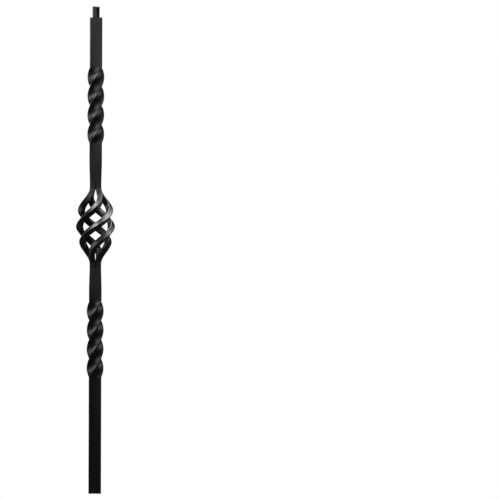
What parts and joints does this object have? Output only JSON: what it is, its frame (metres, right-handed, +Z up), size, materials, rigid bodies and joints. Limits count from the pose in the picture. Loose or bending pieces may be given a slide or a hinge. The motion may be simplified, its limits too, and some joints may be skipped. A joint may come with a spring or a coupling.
{
  "type": "iron newel post",
  "caption": "Square bar newel post with two full twists, an open twisted basket and a round pin on top, for a stair balustrade.",
  "frame": {"origin": "centre of the square foot, on the surface the post stands on", "axes": "+Z up along the post, towards the pin; +X and +Y square to the bar's faces, with -Y the front"},
  "size_m": [0.0958, 0.0958, 1.2],
  "materials": {
    "black_coat": "satin black powder coat with a fine grain over solid steel"
  },
  "bodies": {
    "root": {"lower_bar": "black_coat", "upper_bar": "black_coat", "basket_rod_front_left": "black_coat", "basket_rod_front_right": "black_coat", "basket_rod_back_right": "black_coat", "basket_rod_back_left": "black_coat"}
  },
  "joints": []
}
